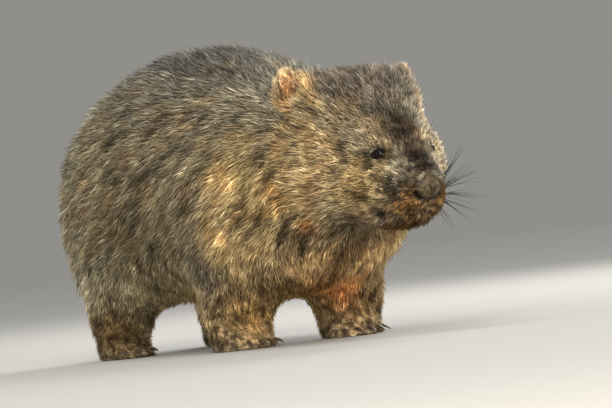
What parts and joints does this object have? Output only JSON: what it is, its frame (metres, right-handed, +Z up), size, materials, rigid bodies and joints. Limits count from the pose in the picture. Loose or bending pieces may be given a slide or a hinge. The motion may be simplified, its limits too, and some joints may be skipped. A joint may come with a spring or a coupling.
{
  "type": "wombat",
  "caption": "Adult bare-nosed wombat standing on four short legs, thick coarse grey-brown coat with a golden shoulder and cheek, head low and level, dark eyes, broad leathery nose",
  "frame": {"origin": "on the floor, under the middle of the whole model's bounding box", "axes": "+X from tail to nose, +Y to the animal's left, +Z up"},
  "size_m": [0.8176, 0.3396, 0.4228],
  "materials": {
    "back_fur": "coarse thick fur, grey-brown with dark roots and pale tips, matte",
    "head_fur": "short dense fur, buff to dark brown, matte",
    "leg_fur": "coarse fur, tan to dark brown, matte",
    "foot_fur": "short stiff fur, dark brown, matte",
    "ear_fur": "short soft fur over warm skin, ginger buff",
    "nose_leather": "bare pebbled skin, grey-brown, slightly moist",
    "eye_cornea": "wet, near black, mirror-smooth",
    "claw_horn": "horn, dark brown with worn paler ridges, half gloss"
  },
  "bodies": {
    "root": {"trunk": "back_fur", "neck": "back_fur", "tail": "back_fur", "head": "head_fur", "nose": "nose_leather", "ear_left": "ear_fur", "ear_right": "ear_fur", "eye_left": "eye_cornea", "eye_right": "eye_cornea", "leg_fore_left": "leg_fur", "foot_fore_left": "foot_fur", "claw_fore_left_1": "claw_horn", "claw_fore_left_2": "claw_horn", "claw_fore_left_3": "claw_horn", "claw_fore_left_4": "claw_horn", "claw_fore_left_5": "claw_horn", "leg_fore_right": "leg_fur", "foot_fore_right": "foot_fur", "claw_fore_right_1": "claw_horn", "claw_fore_right_2": "claw_horn", "claw_fore_right_3": "claw_horn", "claw_fore_right_4": "claw_horn", "claw_fore_right_5": "claw_horn", "leg_hind_left": "leg_fur", "foot_hind_left": "foot_fur", "claw_hind_left_1": "claw_horn", "claw_hind_left_2": "claw_horn", "claw_hind_left_3": "claw_horn", "claw_hind_left_4": "claw_horn", "leg_hind_right": "leg_fur", "foot_hind_right": "foot_fur", "claw_hind_right_1": "claw_horn", "claw_hind_right_2": "claw_horn", "claw_hind_right_3": "claw_horn", "claw_hind_right_4": "claw_horn"}
  },
  "joints": []
}
